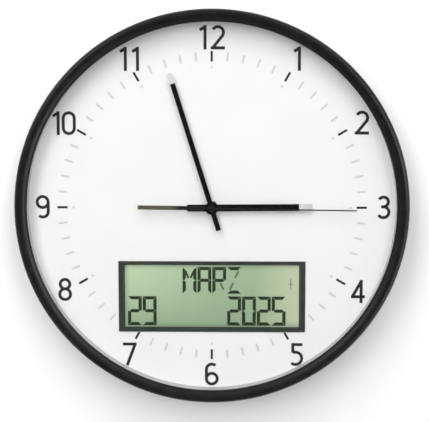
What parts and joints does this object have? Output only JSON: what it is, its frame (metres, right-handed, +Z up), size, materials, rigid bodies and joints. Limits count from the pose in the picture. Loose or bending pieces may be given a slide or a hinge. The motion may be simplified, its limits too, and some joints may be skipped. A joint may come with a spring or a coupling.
{
  "type": "wall clock with date display",
  "caption": "Round black wall clock with a white dial, printed numerals and marks, hour, minute and second hands, and a wide green calendar display below the hands.",
  "frame": {"origin": "centre of the keyhole's round part, on the plane of the wall", "axes": "+Y points out of the clock's back into the wall, the dial faces -Y, +Z is up, +X is at the viewer's right"},
  "size_m": [0.3, 0.0426, 0.3],
  "materials": {
    "case_black": "satin black",
    "housing_black": "fine matt black",
    "lens_clear": "clear polished",
    "dial_white": "smooth matt white",
    "inner_white": "smooth matt white",
    "ink_black": "printed black",
    "ink_grey": "printed pale grey",
    "frame_dark": "satin dark grey-green",
    "display_green": "pale green display glass",
    "segment_dark": "dark green-grey",
    "rubber_pale": "matt",
    "rubber_black": "matt",
    "board_green": "solder mask green",
    "chip_black": "matt resin",
    "switch_grey": "matt",
    "button_pale": "matt",
    "steel": "plated",
    "nut_black": "black",
    "cell_wrap": "printed foil",
    "ferrite": "matt dark grey",
    "copper": "enamelled copper wire",
    "gear_pale": "moulded",
    "hand_black": "black paint",
    "hand_pale": "pale paint",
    "second_bronze": "dark olive bronze"
  },
  "bodies": {
    "case": {"antenna_coil": "copper", "antenna_rod": "ferrite", "board_screws": "steel", "case_screws": "steel", "contact_strips": "rubber_pale", "dial": "dial_white", "display_board": "board_green", "display_chip": "chip_black", "fixing_nut": "nut_black", "fixing_washer": "rubber_black", "front_ring": "case_black", "hour_marks": "ink_black", "hour_numerals": "ink_black", "lcd_cell": "display_green", "lcd_characters": "segment_dark", "lcd_frame": "frame_dark", "lens": "lens_clear", "minute_coil": "copper", "minute_marks": "ink_grey", "minute_stator": "steel", "movement_board": "board_green", "movement_cell": "cell_wrap", "movement_cell_contacts": "steel", "movement_chip": "chip_black", "movement_front_shell": "housing_black", "movement_rear_cover": "housing_black", "movement_switch": "switch_grey", "push_switches": "switch_grey", "quartz_crystal": "steel", "rear_housing": "housing_black", "second_coil": "copper", "second_stator": "steel", "small_cell_contacts": "steel", "small_cells": "cell_wrap", "spacer_ring": "inner_white", "train_plate": "gear_pale"},
    "second_hand": {"second_wheel": "gear_pale", "second_hand": "second_bronze"},
    "second_idler": {"second_idler": "gear_pale"},
    "second_rotor": {"second_rotor": "ferrite"},
    "minute_hand": {"minute_wheel": "gear_pale", "minute_hand": "hand_black", "minute_hand_tip": "hand_pale"},
    "minute_idler": {"minute_idler": "gear_pale"},
    "minute_rotor": {"minute_rotor": "ferrite"},
    "motion_wheel": {"motion_wheel": "gear_pale"},
    "hour_hand": {"hour_wheel": "gear_pale", "hour_hand": "hand_black", "hour_hand_tip": "hand_pale"},
    "set_button": {"set_button": "button_pale"},
    "up_button": {"up_button": "button_pale"},
    "down_button": {"down_button": "button_pale"},
    "language_button": {"language_button": "button_pale"},
    "hand_set_button": {"hand_set_button": "button_pale"},
    "battery_door": {"battery_door": "housing_black"}
  },
  "joints": [
    {"name": "second_hand_turn", "type": "hinge", "parent": "case", "child": "second_hand", "pos_m": [0, 0, -0.11], "axis": [0, 1, 0], "continuous": true},
    {"name": "second_idler_turn", "type": "hinge", "parent": "case", "child": "second_idler", "pos_m": [-0.00935, 0, -0.1046], "axis": [0, 1, 0], "continuous": true},
    {"name": "second_rotor_turn", "type": "hinge", "parent": "case", "child": "second_rotor", "pos_m": [-0.01404, 0, -0.0994], "axis": [0, 1, 0], "continuous": true},
    {"name": "minute_hand_turn", "type": "hinge", "parent": "case", "child": "minute_hand", "pos_m": [0, 0, -0.11], "axis": [0, 1, 0], "continuous": true},
    {"name": "minute_idler_turn", "type": "hinge", "parent": "case", "child": "minute_idler", "pos_m": [0.00935, 0, -0.1046], "axis": [0, 1, 0], "continuous": true},
    {"name": "minute_rotor_turn", "type": "hinge", "parent": "case", "child": "minute_rotor", "pos_m": [0.01404, 0, -0.0994], "axis": [0, 1, 0], "continuous": true},
    {"name": "motion_wheel_turn", "type": "hinge", "parent": "case", "child": "motion_wheel", "pos_m": [0, 0, -0.10136], "axis": [0, 1, 0], "continuous": true},
    {"name": "hour_hand_turn", "type": "hinge", "parent": "case", "child": "hour_hand", "pos_m": [0, 0, -0.11], "axis": [0, 1, 0], "continuous": true},
    {"name": "set_button_press", "type": "slide", "parent": "case", "child": "set_button", "axis": [0, -1, 0], "range_m": [0, 0.0007], "stiffness_N_per_m": 600},
    {"name": "up_button_press", "type": "slide", "parent": "case", "child": "up_button", "axis": [0, -1, 0], "range_m": [0, 0.0007], "stiffness_N_per_m": 600},
    {"name": "down_button_press", "type": "slide", "parent": "case", "child": "down_button", "axis": [0, -1, 0], "range_m": [0, 0.0007], "stiffness_N_per_m": 600},
    {"name": "language_button_press", "type": "slide", "parent": "case", "child": "language_button", "axis": [0, -1, 0], "range_m": [0, 0.0007], "stiffness_N_per_m": 600},
    {"name": "hand_set_button_press", "type": "slide", "parent": "case", "child": "hand_set_button", "axis": [0, -1, 0], "range_m": [0, 0.0007], "stiffness_N_per_m": 600},
    {"name": "battery_door_lift", "type": "slide", "parent": "case", "child": "battery_door", "axis": [0, 1, 0], "range_m": [0, 0.03]}
  ],
  "couplings": [
    {"joint": "second_idler_turn", "follows": "second_hand_turn", "ratio": -5},
    {"joint": "second_rotor_turn", "follows": "second_hand_turn", "ratio": 30},
    {"joint": "minute_idler_turn", "follows": "minute_hand_turn", "ratio": -5},
    {"joint": "minute_rotor_turn", "follows": "minute_hand_turn", "ratio": 30},
    {"joint": "motion_wheel_turn", "follows": "minute_hand_turn", "ratio": -0.33333},
    {"joint": "hour_hand_turn", "follows": "minute_hand_turn", "ratio": 0.083333}
  ]
}
